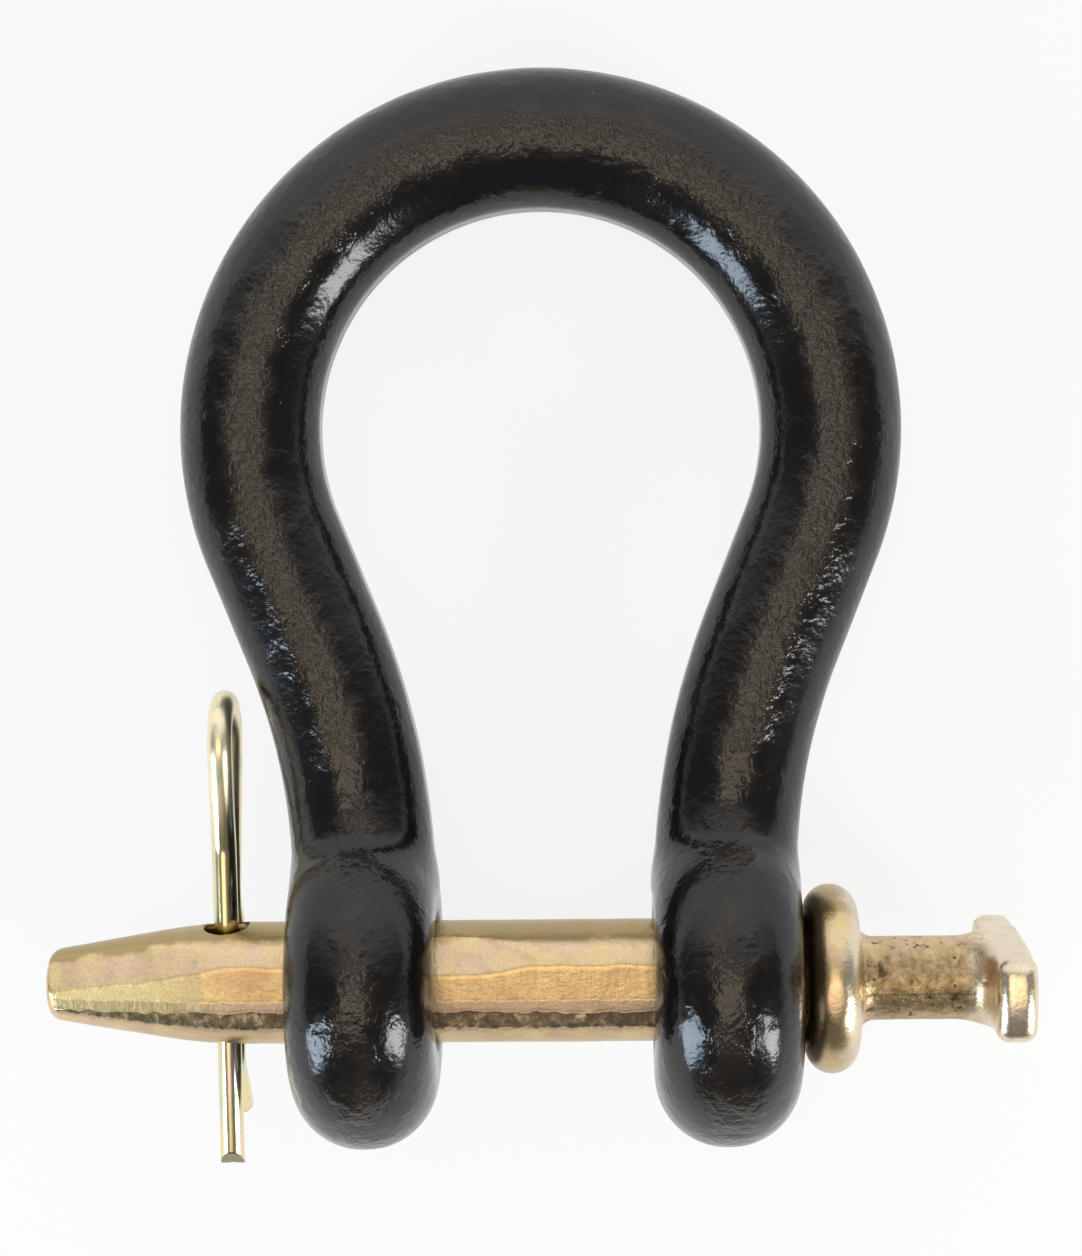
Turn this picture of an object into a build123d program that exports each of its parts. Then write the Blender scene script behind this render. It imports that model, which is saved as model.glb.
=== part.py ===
from build123d import *
import os
from math import asin, atan2, cos, degrees, hypot, pi, radians, sin, sqrt, tan

os.makedirs("parts", exist_ok=True)

# Millimetres. X runs along the clevis pin towards its head, Y towards the bow's crown and Z up.
# The origin lies on the pin's axis, midway between the ears.

# Bow: one bar bent to a wide crown, with an eye forged across each end
BAR = 22.4
CROWN_HEIGHT = 130.7
CROWN_RADIUS = 45.0
FLARE_RUN = 16.75
WAIST_FOOT = 14.45
EAR_GAP = 33.4
EAR_SWELL = 0.3
EYE_RADIUS = 25.8
EYE_RIM_LAND = 0.65
BLEND_RISE = 7.0
BLEND_SWELL = 5.0
BLEND_STEPS = 4
BOW_TRIM_WIDTH = 5.0
TRIM_RUN_OUT = 8.0
BORE_CHAMFER = 0.8

# Clevis pin: one forging with a tapered nose, a collar, a neck and a cross bar
SHANK = 19.05
BORE_CLEARANCE = 0.75
NOSE_LENGTH = 24.8
NOSE_TIP = 10.8
NOSE_ROUNDING = 1.6
SHOULDER_BLEND = 12.0
NOSE_BEYOND_HOLE = 27.6
COLLAR = 29.4
COLLAR_THICKNESS = 8.3
COLLAR_GAP = 0.6
NECK = 13.0
NECK_LENGTH = 19.6
NECK_ROUNDING = 1.5
CROSS_BAR_LENGTH = 34.0
CROSS_BAR_STEP = 0.2
CROSS_BAR_THICKNESS = 6.2
CROSS_BAR_ROUNDING = 2.6
WEB_RADIUS = 4.0
PIN_TRIM_WIDTH = 9.8
NOSE_TRIM_WIDTH = 3.6

# Hairpin clip: one round wire, its straight leg through the pin's cross hole
WIRE = 3.8
WIRE_CLEARANCE = 1.3
HOLE_CHAMFER = 0.4
SEAT_GAP = 0.2
BOW_CLEARANCE = 3.4
LOOP_RADIUS = 6.5
LOOP_RISE = 36.8
LOOP_SWELL = 2.1
SHOULDER_RADIUS = 8.3
SHOULDER_RISE = 20.6
PINCH_RADIUS = 3.8
PINCH_GAP = 0.4
UPPER_PINCH = 13.4
LOWER_PINCH = 12.8
STRAIGHT_REACH = 29.5
STRAIGHT_BEVEL = 2.2
WAVY_REACH = 23.4
WAVY_FLARE = 58.0

# How the pin and its clip are turned about the pin's axis from the bow's own plane
PIN_ROLL = 7.5

ear_thickness = BAR + EAR_SWELL
ear_middle = (EAR_GAP + ear_thickness) / 2
ear_face = EAR_GAP / 2 + ear_thickness
eye_edge = (ear_thickness - EYE_RIM_LAND) / 2

# The leg's centre line: crown, straight flare, reverse bend at the waist, straight through the eye
crown_centre_y = CROWN_HEIGHT - CROWN_RADIUS
rise = crown_centre_y - WAIST_FOOT
lean = 2 * atan2(CROWN_RADIUS - ear_middle, rise + FLARE_RUN)
waist_radius = (rise - CROWN_RADIUS * sin(lean) - FLARE_RUN * cos(lean)) / sin(lean)
crown_foot = (CROWN_RADIUS * cos(lean), crown_centre_y - CROWN_RADIUS * sin(lean))
blend_angle = asin((EYE_RADIUS + BLEND_RISE - WAIST_FOOT) / waist_radius)


def waist_side(height, offset):
    """How far out the reverse bend or flare is at this height, at an offset outside its centre line."""
    radius = waist_radius - offset
    climb = height - WAIST_FOOT
    curved = min(climb, radius * sin(lean))
    across = ear_middle + waist_radius - sqrt(radius**2 - curved**2)
    return across + (climb - curved) * tan(lean)


# The clip's loop stands clear of the leg beside it, and its hole follows from that.
hole_radius = WIRE / 2 + WIRE_CLEARANCE
loop_top = LOOP_RISE + LOOP_RADIUS + WIRE / 2
hole_x = -(waist_side(loop_top, BAR / 2) + BOW_CLEARANCE + WIRE / 2)
collar_x = ear_face + COLLAR_GAP
neck_x = collar_x + COLLAR_THICKNESS
cross_bar_x = neck_x + NECK_LENGTH
cross_bar_height = NECK + 2 * CROSS_BAR_STEP
nose_x = hole_x - NOSE_BEYOND_HOLE
nose_shoulder = nose_x + NOSE_LENGTH

# The straight leg is pulled against the side of its hole that the wavy leg is on.
leg_y = -(hole_radius - WIRE / 2 - SEAT_GAP)

# The bow lies on its two eyes and the underside of its crown, so its plane leans a little.
rest_pitch = degrees(asin((EYE_RADIUS - BAR / 2) / CROWN_HEIGHT))


def sag(radius, width):
    """How deep a flat of this width lies in a round of this radius."""
    return radius - sqrt(radius**2 - (width / 2) ** 2)


def waist_point(angle):
    """The leg's centre line in its reverse bend, at this angle from the pin's side of it."""
    across = ear_middle + waist_radius * (1 - cos(angle))
    return (across, WAIST_FOOT + waist_radius * sin(angle))


def leg_path():
    """One leg's centre line from where its blend into the eye starts, up to the crown's middle."""
    up = (radians(90) - lean) / 2
    crown_side = (CROWN_RADIUS * cos(up), crown_centre_y + CROWN_RADIUS * sin(up))
    waist_top = waist_point(lean)
    waist = ThreePointArc(waist_point(blend_angle), waist_point((blend_angle + lean) / 2), waist_top)
    flare = Line(waist_top, crown_foot)
    crown = ThreePointArc(crown_foot, crown_side, (0, CROWN_HEIGHT))
    return Wire([waist.edge(), flare.edge(), crown.edge()])


def section_plane(angle):
    """The plane square to the leg's centre line at this angle of its reverse bend."""
    across, along = waist_point(angle)
    return Plane(
        origin=(across, along, 0),
        x_dir=(cos(angle), -sin(angle), 0),
        z_dir=(sin(angle), cos(angle), 0),
    )


def blend():
    """The bar widening front and back, in a hollow curve, until it is inside the eye's rim."""
    sections = []
    for step in range(BLEND_STEPS + 1):
        share = step / BLEND_STEPS
        angle = blend_angle * (1 - share)
        sections.append(section_plane(angle) * Ellipse(BAR / 2, BAR / 2 + BLEND_SWELL * share**2))
    return loft(sections)


def eye():
    """A flat-faced eye with a full rounded rim, turned about the pin's axis."""
    blank = Pos(ear_middle, EYE_RADIUS / 2) * Rectangle(ear_thickness, EYE_RADIUS)
    rim = blank.vertices().sort_by(Axis.Y)[-2:]
    return revolve(fillet(rim, eye_edge), axis=Axis.X)


def trimmed_land():
    """What trimming the flash takes off the bar's front: a flat that runs out above the eye."""
    depth = sag(BAR / 2, BOW_TRIM_WIDTH)
    start = EYE_RADIUS + BLEND_RISE
    outline = Polyline(
        (start, BAR / 2),
        (start + TRIM_RUN_OUT, BAR / 2 - depth),
        (CROWN_HEIGHT + BAR, BAR / 2 - depth),
        (CROWN_HEIGHT + BAR, BAR),
        (start, BAR),
        close=True,
    )
    return extrude(Plane.YZ * make_face(outline), amount=CROWN_RADIUS + BAR, both=True)


def bore():
    """The hole through both ears, with a chamfer at each of its four mouths."""
    radius = SHANK / 2 + BORE_CLEARANCE
    hole = Rot(0, 90, 0) * Cylinder(radius, 3 * ear_face)
    mouth = Polyline(
        (0, 0),
        (0, radius + BORE_CHAMFER),
        (BORE_CHAMFER, radius),
        (BORE_CHAMFER, 0),
        close=True,
    )
    countersink = revolve(make_face(mouth), axis=Axis.X)
    for side in (0, 180):
        hole += Rot(0, side, 0) * Pos(EAR_GAP / 2, 0, 0) * countersink
        hole += Rot(0, side, 0) * Pos(ear_face, 0, 0) * Rot(0, 180, 0) * countersink
    return hole


def bow():
    """Both legs and eyes as one forging, with each bar blended into its eye."""
    bar = sweep(section_plane(blend_angle) * Circle(BAR / 2), path=leg_path())
    leg = bar + blend() + eye()
    land = trimmed_land()
    whole = leg + mirror(leg, about=Plane.YZ)
    return whole - bore() - land - Rot(0, 180, 0) * land


def pin_outline():
    """Half of the pin's profile, as turned about its axis: nose, shank, collar, neck and head."""
    tip_radius = NOSE_TIP / 2
    shank_radius = SHANK / 2
    neck_radius = NECK / 2
    head_radius = CROSS_BAR_LENGTH / 2
    collar_round = COLLAR_THICKNESS / 2
    collar_reach = COLLAR / 2 - collar_round
    cross_bar_end = cross_bar_x + CROSS_BAR_THICKNESS
    corners = Polyline(
        (nose_x, 0),
        (nose_x, tip_radius),
        (nose_shoulder, shank_radius),
        (collar_x, shank_radius),
        (collar_x, collar_reach),
    )
    rim = ThreePointArc(
        (collar_x, collar_reach), (collar_x + collar_round, COLLAR / 2), (neck_x, collar_reach)
    )
    head = Polyline(
        (neck_x, collar_reach),
        (neck_x, neck_radius),
        (cross_bar_x, neck_radius),
        (cross_bar_x, head_radius),
        (cross_bar_end, head_radius),
        (cross_bar_end, 0),
        (nose_x, 0),
    )
    face = make_face(corners.edges() + rim.edges() + head.edges())
    for x, y, radius in (
        (nose_x, tip_radius, NOSE_ROUNDING),
        (nose_shoulder, shank_radius, SHOULDER_BLEND),
        (neck_x, neck_radius, NECK_ROUNDING),
        (cross_bar_x, neck_radius, WEB_RADIUS),
        (cross_bar_x, head_radius, CROSS_BAR_ROUNDING),
        (cross_bar_end, head_radius, CROSS_BAR_ROUNDING),
    ):
        corner = face.vertices().sort_by_distance((x, y, 0))[0]
        face = fillet(corner, radius)
    return face


def cross_bar_sides():
    """The two slabs whose removal leaves the round head a straight cross bar."""
    size = CROSS_BAR_LENGTH
    slab = Box(size, size, 2 * size, align=(Align.MIN, Align.MIN, Align.CENTER))
    upper = Pos(cross_bar_x - WEB_RADIUS, cross_bar_height / 2, 0) * slab
    return upper + mirror(upper, about=Plane.XZ)


def pin_trim():
    """What trimming the flash takes off the shank and nose: a long flat on each side."""
    tip_height = NOSE_TIP / 2 - sag(NOSE_TIP / 2, NOSE_TRIM_WIDTH)
    shank_height = SHANK / 2 - sag(SHANK / 2, PIN_TRIM_WIDTH)
    slope = (shank_height - tip_height) / NOSE_LENGTH
    outline = Polyline(
        (nose_x - SHANK, tip_height - SHANK * slope),
        (nose_shoulder, shank_height),
        (collar_x, shank_height),
        (collar_x, SHANK),
        (nose_x - SHANK, SHANK),
        close=True,
    )
    flat = extrude(Plane.XZ * make_face(outline), amount=SHANK, both=True)
    return flat + mirror(flat, about=Plane.XY)


def cotter_hole():
    """The cross hole for the clip, square to the trimmed flats, countersunk at both mouths."""
    reach = SHANK / 2
    edge = reach - sag(reach, 2 * hole_radius) - HOLE_CHAMFER
    sink = Cone(hole_radius, hole_radius + reach, reach, align=(Align.CENTER, Align.CENTER, Align.MIN))
    mouth = Pos(0, 0, edge) * sink
    both = Cylinder(hole_radius, 2 * SHANK) + mouth + mirror(mouth, about=Plane.XY)
    return Pos(hole_x, 0, 0) * Rot(90, 0, 0) * both


def pin():
    """The clevis pin, with its cross bar along Z and its cross hole along Y."""
    blank = revolve(Rot(90, 0, 0) * pin_outline(), axis=Axis.X) - cross_bar_sides()
    sides = blank.faces().filter_by(Axis.Y)
    return fillet(sides.edges(), CROSS_BAR_ROUNDING) - pin_trim() - cotter_hole()


def bend_point(bend, heading, turn):
    """The point of a bend, given as centre and radius, where the wire runs with this heading."""
    x, y, radius = bend
    return (x + turn * radius * sin(heading), y - turn * radius * cos(heading))


def bend_arc(bend, start, end, turn):
    """The wire's arc round a bend between two headings, to the left where turn is 1."""
    turned = (turn * (end - start)) % (2 * pi)
    middle = start + turn * turned / 2
    return ThreePointArc(*(bend_point(bend, heading, turn) for heading in (start, middle, end)))


def run_heading(bend, following, turn):
    """The heading of the straight run that leaves one bend and meets the next, turned the other way."""
    across, along = following[0] - bend[0], following[1] - bend[1]
    return atan2(along, across) + turn * asin((bend[2] + following[2]) / hypot(across, along))


def wire_path():
    """The clip's centre line: straight leg, shoulder, loop, pinch, belly round the pin, pinch, tail.

    x runs up the straight leg from the pin's axis, and y from the wavy leg towards the straight one.
    """
    pinch_y = leg_y - WIRE - PINCH_GAP - PINCH_RADIUS
    bends = [
        (SHOULDER_RISE, leg_y + SHOULDER_RADIUS, SHOULDER_RADIUS),
        (LOOP_RISE, leg_y + LOOP_SWELL - LOOP_RADIUS, LOOP_RADIUS),
        (UPPER_PINCH, pinch_y, PINCH_RADIUS),
        (0, 0, SHANK / 2 + SEAT_GAP + WIRE / 2),
        (-LOWER_PINCH, pinch_y, PINCH_RADIUS),
    ]
    edges = [Line((-STRAIGHT_REACH, leg_y), (SHOULDER_RISE, leg_y))]
    heading, turn = 0.0, 1
    for bend, following in zip(bends, bends[1:]):
        onward = run_heading(bend, following, turn)
        edges.append(bend_arc(bend, heading, onward, turn))
        edges.append(Line(bend_point(bend, onward, turn), bend_point(following, onward, -turn)))
        heading, turn = onward, -turn
    flare = pi + radians(WAVY_FLARE)
    start = bend_point(bends[-1], flare, turn)
    fall = WAVY_REACH + start[0]
    edges.append(bend_arc(bends[-1], heading, flare, turn))
    edges.append(Line(start, (-WAVY_REACH, start[1] + fall * sin(flare))))
    return Wire([e for line in edges for e in line.edges()])


def clip():
    """The hairpin clip, bent from one wire, with the straight leg's end sheared off at a slant."""
    path = Plane.YZ.offset(hole_x) * wire_path()
    section = Plane(origin=(hole_x, -STRAIGHT_REACH, leg_y), z_dir=(0, 1, 0)) * Circle(WIRE / 2)
    wire = sweep(section, path=path)
    front = leg_y + WIRE / 2
    shear = Polyline(
        (-STRAIGHT_REACH, front - STRAIGHT_BEVEL),
        (-STRAIGHT_REACH + STRAIGHT_BEVEL, front),
        (-STRAIGHT_REACH, front + WIRE),
        (-STRAIGHT_REACH - WIRE, front),
        close=True,
    )
    return wire - extrude(Plane.YZ.offset(hole_x) * make_face(shear), amount=WIRE, both=True)


def at_rest(shape, roll=0.0):
    """The shape turned about the pin's axis as it lies, with any roll of its own first."""
    return Rot(roll - rest_pitch, 0, 0) * shape


nodes = {
    "clevis_bow": at_rest(bow()),
    "clevis_pin": at_rest(pin(), PIN_ROLL),
    "hairpin_clip": at_rest(clip(), PIN_ROLL),
}
for name, shape in nodes.items():
    export_step(shape, f"parts/{name}.step")
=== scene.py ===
import itertools
import math

import bpy
import numpy as np
from bpy.props import FloatProperty, FloatVectorProperty, PointerProperty
from mathutils import Euler, Matrix, Vector


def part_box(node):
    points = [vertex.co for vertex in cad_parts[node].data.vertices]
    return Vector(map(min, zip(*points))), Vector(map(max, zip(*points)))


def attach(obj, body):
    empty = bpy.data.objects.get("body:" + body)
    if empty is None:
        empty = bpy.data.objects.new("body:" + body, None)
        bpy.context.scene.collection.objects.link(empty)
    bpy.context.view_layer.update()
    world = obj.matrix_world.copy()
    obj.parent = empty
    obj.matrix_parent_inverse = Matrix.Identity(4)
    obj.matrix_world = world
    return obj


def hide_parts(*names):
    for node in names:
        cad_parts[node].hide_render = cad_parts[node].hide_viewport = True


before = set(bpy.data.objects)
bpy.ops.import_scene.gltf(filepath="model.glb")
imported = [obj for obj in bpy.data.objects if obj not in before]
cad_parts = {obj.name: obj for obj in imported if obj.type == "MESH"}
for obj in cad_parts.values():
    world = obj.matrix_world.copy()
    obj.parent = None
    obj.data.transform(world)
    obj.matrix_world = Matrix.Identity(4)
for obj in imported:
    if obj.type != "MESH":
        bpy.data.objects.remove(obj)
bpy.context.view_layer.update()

bl_info = {
    "name": "Clevis with head pin and hairpin clip",
    "version": (1, 0, 0),
    "blender": (4, 5, 0),
    "location": "View3D > Sidebar > Clevis",
    "description": "Models the enamelled bow, the zinc-plated pin and its clip over their solids",
    "category": "Add Mesh",
}

MM = 0.001
AXES = (0, 1, 2)

# Parts of a noise's range that hold most of its values
WIDE = (0.3, 0.7)
NARROW = (0.35, 0.65)

# Large numbers that scatter the random values of the mottle's cells along each axis, and of its seeds
SCATTER = (73856093, 19349663, 83492791)
SEED_SCATTER = 2654435761

# Colours of small marks in the finishes, and of the painted dark reflection of the ear on the collar
RUST = (0.25, 0.05, 0.02)
DUST = (0.3, 0.29, 0.27)
COLLAR_EAR_REFLECTION = (0.25, 0.17, 0.08)
COPPERY = (0.68, 0.40, 0.21)
GRAIN_SHADE = (0.34, 0.22, 0.10)
WORN_TEAR = (0.30, 0.235, 0.135)
NECK_STAIN = (0.12, 0.08, 0.045)
NECK_SPECK = (0.05, 0.035, 0.02)
FLASH_SEAM = (0.10, 0.07, 0.04)
PIT = (0.08, 0.055, 0.035)
CUT_WIRE = (0.30, 0.25, 0.17)

# Colours of the lights
WHITE = (1.0, 1.0, 1.0)
WARM_WHITE = (1.0, 0.84, 0.64)
COOL_WHITE = (0.70, 0.85, 1.0)


def size(name, about, millimetres):
    """A length in metres, given here in millimetres."""
    return FloatProperty(name=name, description=about, default=millimetres * MM, unit="LENGTH", precision=5)


def tint(name, about, *default):
    """A colour as it is written into a material."""
    return FloatVectorProperty(
        name=name, description=about, default=default, size=3, min=0.0, max=1.0, subtype="COLOR"
    )


def turn(name, about, degrees):
    """An angle, given here in degrees."""
    return FloatProperty(name=name, description=about, default=math.radians(degrees), subtype="ANGLE")


class BowProperties(bpy.types.PropertyGroup):
    bar: size("Bar", "Diameter of the bar", 22.4)
    crown_height: size("Crown height", "From the pin's axis to the bar's centre at the crown", 130.7)
    crown_radius: size("Crown radius", "Radius of the crown's centre line", 45.0)
    flare_run: size("Flare run", "Straight length between the crown and the reverse bend", 16.75)
    waist_foot: size("Waist foot", "Height over the pin's axis where the reverse bend starts", 14.45)
    ear_gap: size("Ear gap", "Opening between the ears", 33.4)
    ear_swell: size("Ear swell", "How much thicker than the bar the ears are", 0.3)
    eye_radius: size("Eye radius", "Outer radius of the eyes", 25.8)
    rim_land: size("Rim land", "Straight stretch between an eye's two rounded rims", 0.65)
    blend_rise: size("Blend rise", "Height over the eye where the bar starts to widen", 7.0)
    blend_swell: size("Blend swell", "How far the bar widens towards the eye, front and back", 5.0)
    crease: size("Crease", "Reach of the soft crease between bar and eye", 1.6)
    bore: size("Bore", "Diameter of the bores", 20.55)
    chamfer: size("Chamfer", "Chamfer at the bores' mouths", 0.8)
    trim_width: size("Trim width", "Width of the flat that trimming the flash leaves front and back", 2.8)
    edge_width: size("Edge width", "Width of the shallow flat along the bar's sides", 5.0)
    band_width: size("Band width", "Width of the rough band that the enamel covers thinly", 7.5)
    wander: size("Wander", "How far the forging strays from its true form", 0.14)
    cell: size("Cell", "Size of the net that the mesh is made on", 0.8)
    enamel: tint("Enamel", "Black enamel", 0.0055, 0.0048, 0.0046)
    # Its brownish tint over the band is thin enamel and partly painted reflection of the warm overhead light
    thin_enamel_and_reflection: tint("Thin enamel", "Enamel over the rough flash band", 0.024, 0.018, 0.013)


class PinProperties(bpy.types.PropertyGroup):
    roll: turn("Roll", "How the pin is turned out of the bow's plane", 7.5)
    shank: size("Shank", "Diameter of the shank", 19.05)
    nose_length: size("Nose length", "Length of the tapered nose", 24.8)
    nose_tip: size("Nose tip", "Diameter of the nose's end", 10.8)
    nose_rounding: size("Nose rounding", "Reach of the rounding at the nose's end", 2.2)
    collar_thickness: size("Collar thickness", "Thickness of the collar", 8.3)
    neck: size("Neck", "Diameter of the neck", 13.0)
    neck_length: size("Neck length", "Length of the neck between collar and cross bar", 19.6)
    neck_rounding: size("Neck rounding", "Reach of the hollow between collar and neck", 3.0)
    bar_thickness: size("Cross bar thickness", "Thickness of the cross bar along the pin", 6.2)
    bar_step: size("Cross bar step", "How far the cross bar stands wider than the neck", 0.2)
    bar_rounding: size("Cross bar rounding", "Rounding of the cross bar's edges", 2.2)
    web: size("Web", "Reach of the hollow between neck and cross bar", 5.0)
    trim_width: size("Trim width", "Width of the sheared flat on the shank", 9.8)
    nose_trim_width: size("Nose trim width", "Width of the sheared flat at the nose's end", 3.6)
    tear_depth: size("Tear depth", "Depth of the torn part of the sheared flat", 0.12)
    ridge: size("Ridge", "How far the sheared flat's upper ridge rises and falls", 0.3)
    wander: size("Wander", "How far the forging strays from its true form", 0.09)
    cell: size("Cell", "Size of the net that the mesh is made on", 0.4)
    gold: tint("Gold", "Yellow zinc plating", 0.90, 0.70, 0.38)
    pink: tint("Pink", "Pinkish tint of the plating", 0.90, 0.65, 0.47)
    olive: tint("Olive", "Greenish brown tint of the plating", 0.46, 0.35, 0.17)
    # Dull also stands in for painted dark reflection where the neck faces the camera
    dull: tint("Dull", "Rough dull plating of the neck", 0.33, 0.24, 0.12)
    pale: tint("Pale", "Pale silvery plating of the cross bar", 0.88, 0.83, 0.72)
    sheared: tint("Sheared", "Plating over the sheared flats", 0.76, 0.57, 0.29)
    lines: tint("Lines", "Darker lines across the sheared flats", 0.62, 0.42, 0.21)
    lit: tint("Lit", "Light yellow of the nose's sheared flat", 1.0, 0.88, 0.46)
    torn: tint("Torn", "Dark torn metal beside the flats", 0.10, 0.078, 0.05)


class ClipProperties(bpy.types.PropertyGroup):
    wire: size("Wire", "Diameter of the wire", 3.8)
    clearance: size("Clearance", "Clearance round the wire in the pin's cross hole", 1.3)
    seat_gap: size("Seat gap", "Gap between the wire and the pin where it bears", 0.2)
    loop_radius: size("Loop radius", "Centre-line radius of the loop", 6.5)
    loop_rise: size("Loop rise", "From the pin's axis to the loop's centre", 36.8)
    loop_swell: size("Loop swell", "How far the loop swells beyond the straight leg", 2.1)
    shoulder_radius: size("Shoulder radius", "Radius of the bend below the loop", 8.3)
    shoulder_rise: size("Shoulder rise", "From the pin's axis to the bend below the loop", 20.6)
    pinch_radius: size("Pinch radius", "Radius of the two bends beside the pin", 3.8)
    pinch_gap: size("Pinch gap", "Gap between the two legs at their narrowest", 0.4)
    upper_pinch: size("Upper pinch", "From the pin's axis to the bend towards the loop", 13.4)
    lower_pinch: size("Lower pinch", "From the pin's axis to the bend towards the tail", 12.8)
    straight_reach: size("Straight reach", "From the pin's axis to the straight leg's end", 29.5)
    straight_bevel: size("Straight bevel", "Slanted share of the straight leg's sheared end", 2.2)
    wavy_reach: size("Wavy reach", "From the pin's axis to the wavy leg's end", 23.4)
    wavy_flare: turn("Wavy flare", "How far the wavy leg's tail turns away", 58.0)
    gold: tint("Gold", "Bright yellow zinc on drawn wire", 0.86, 0.74, 0.42)
    straw: tint("Straw", "Pale straw colour of the matt loop", 1.0, 0.88, 0.62)
    rose: tint("Rose", "Rose tint of the plating", 0.90, 0.70, 0.60)
    green: tint("Green", "Green tint of the plating", 0.60, 0.72, 0.48)
    blue: tint("Blue", "Blue tint of the plating", 0.55, 0.66, 0.82)


class StageProperties(bpy.types.PropertyGroup):
    camera_place: FloatVectorProperty(
        name="Camera place", description="Where the camera is, from the origin, along the bow's own axes",
        default=(9.13 * MM, 54.65 * MM, 435.58 * MM), size=3, unit="LENGTH",
    )
    camera_turn: FloatVectorProperty(
        name="Camera turn", description="How the camera is turned from looking straight at the bow's plane",
        default=(0.00013, 0.02139, -0.01043), size=3, subtype="EULER", unit="ROTATION",
    )
    lens: size("Lens", "Focal length over a sensor of 36 mm", 80.27)
    floor_colour: tint("Floor", "Pale floor", 0.86, 0.86, 0.86)


def settings():
    """The scene, which holds the sizes and colours of every piece."""
    return bpy.context.scene


def turned(about_x):
    """The matrix that turns about the pin's axis."""
    return np.array(Matrix.Rotation(about_x, 3, "X"))


def rest_pitch():
    """How far the bow's plane leans as it lies on its two eyes and its crown."""
    bow = settings().clevis_bow
    return math.asin((bow.eye_radius - bow.bar / 2) / bow.crown_height)


def bow_frame():
    """Turns points of the bow's own plane into the frame."""
    return turned(-rest_pitch())


def pin_frame():
    """Turns points of the pin, as it was forged, into the frame."""
    return turned(settings().clevis_pin.roll - rest_pitch())


def sag(radius, width):
    """How deep a flat of this width lies in a round of this radius."""
    return radius - math.sqrt(radius**2 - (width / 2) ** 2)


def smooth_union(first, second, reach):
    """Two distances joined with a hollow of this reach between them."""
    near = np.clip(1 - np.abs(first - second) / reach, 0, None)
    return np.minimum(first, second) - near**2 * reach / 4


def smooth_cut(first, second, reach):
    """Two distances that both have to hold, with a rounding of this reach between them."""
    return -smooth_union(-first, -second, reach)


def rounded(first, second, radius):
    """Two distances that both have to hold, with a true rounding of this radius where they meet."""
    outside = np.hypot(np.maximum(first + radius, 0), np.maximum(second + radius, 0))
    return outside + np.minimum(np.maximum(first, second) + radius, 0) - radius


def smooth_step(value, start, end):
    """From nought at start to one at end, with soft ends."""
    run = np.clip((value - start) / (end - start), 0, 1)
    return run * run * (3 - 2 * run)


def mottle(points, scale, seed):
    """Smooth random values from -1 to 1, one for each point, that change over about this scale."""
    spot = points / scale
    base = np.floor(spot).astype(np.int64)
    part = spot - base
    part = part * part * (3 - 2 * part)
    total = np.zeros(points.shape[:-1])
    for corner in itertools.product((0, 1), repeat=3):
        cell = base + corner
        key = seed * SEED_SCATTER
        for axis in AXES:
            key = key ^ cell[..., axis] * SCATTER[axis]
        key = (key ^ key >> 13) * 1274126177 & 0xFFFFFFFF
        value = ((key ^ key >> 16) & 0xFFFF) / 0x7FFF - 1
        weight = np.ones(points.shape[:-1])
        for axis, side in enumerate(corner):
            weight = weight * (part[..., axis] if side else 1 - part[..., axis])
        total += weight * value
    return total


def waves(points, layers):
    """Smooth random waves added up, each given as its height, its length and its seed."""
    return sum(height * mottle(points, length, seed) for height, length, seed in layers)


def on_axis(along):
    """Points on the pin's axis, for waves that change only along it."""
    return np.stack([along, 0 * along, 0 * along], axis=-1)


def net_over(distance, low, high, cell):
    """Points and quads of the surface where the distance is nought, one point for each cell it crosses."""
    axes = [np.arange(low[axis] - cell, high[axis] + 2 * cell, cell) for axis in AXES]
    grid = np.stack(np.meshgrid(*axes, indexing="ij"), axis=-1)
    value = distance(grid)
    shape = tuple(n - 1 for n in value.shape)
    total = np.zeros(shape + (3,))
    number = np.zeros(shape)
    crossings = []
    for axis in AXES:
        start = value[tuple(slice(None, -1) if a == axis else slice(None) for a in AXES)]
        end = value[tuple(slice(1, None) if a == axis else slice(None) for a in AXES)]
        place = np.argwhere((start < 0) != (end < 0))
        others = [a for a in AXES if a != axis]
        inner = np.all([(place[:, a] > 0) & (place[:, a] < shape[a]) for a in others], axis=0)
        place = place[inner]
        before = start[tuple(place.T)]
        after = end[tuple(place.T)]
        point = grid[tuple(place.T)].copy()
        point[:, axis] += cell * before / (before - after)
        around = []
        for shift in ((0, 0), (1, 0), (1, 1), (0, 1)):
            around_cell = place.copy()
            around_cell[:, others[0]] -= shift[0]
            around_cell[:, others[1]] -= shift[1]
            np.add.at(total, tuple(around_cell.T), point)
            np.add.at(number, tuple(around_cell.T), 1)
            around.append(around_cell)
        flip = (before < 0) == (axis == 1)
        crossings.append((np.stack(around, axis=1), flip))
    used = number > 0
    index = np.full(shape, -1)
    index[used] = np.arange(used.sum())
    points = total[used] / number[used][:, None]
    quads = []
    for around, flip in crossings:
        quad = index[around[..., 0], around[..., 1], around[..., 2]]
        quad[flip] = quad[flip][:, ::-1]
        quads.append(quad)
    return points, np.concatenate(quads)


def slope_of(distance, points, step):
    """How the distance changes along each axis at these points."""
    parts = []
    for axis in AXES:
        shift = np.zeros(3)
        shift[axis] = step
        parts.append((distance(points + shift) - distance(points - shift)) / (2 * step))
    return np.stack(parts, axis=-1)


def onto(distance, points, step, rounds=3):
    """The points moved along the slope until their distance is nought, by a few steps at most in a round."""
    least_slope = 0.2
    most_steps = 4
    for _ in range(rounds):
        slope = slope_of(distance, points, step)
        steepness = np.maximum((slope**2).sum(axis=-1, keepdims=True), least_slope)
        move = distance(points)[..., None] * slope / steepness
        points = points - np.clip(move, -most_steps * step, most_steps * step)
    return points


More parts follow.
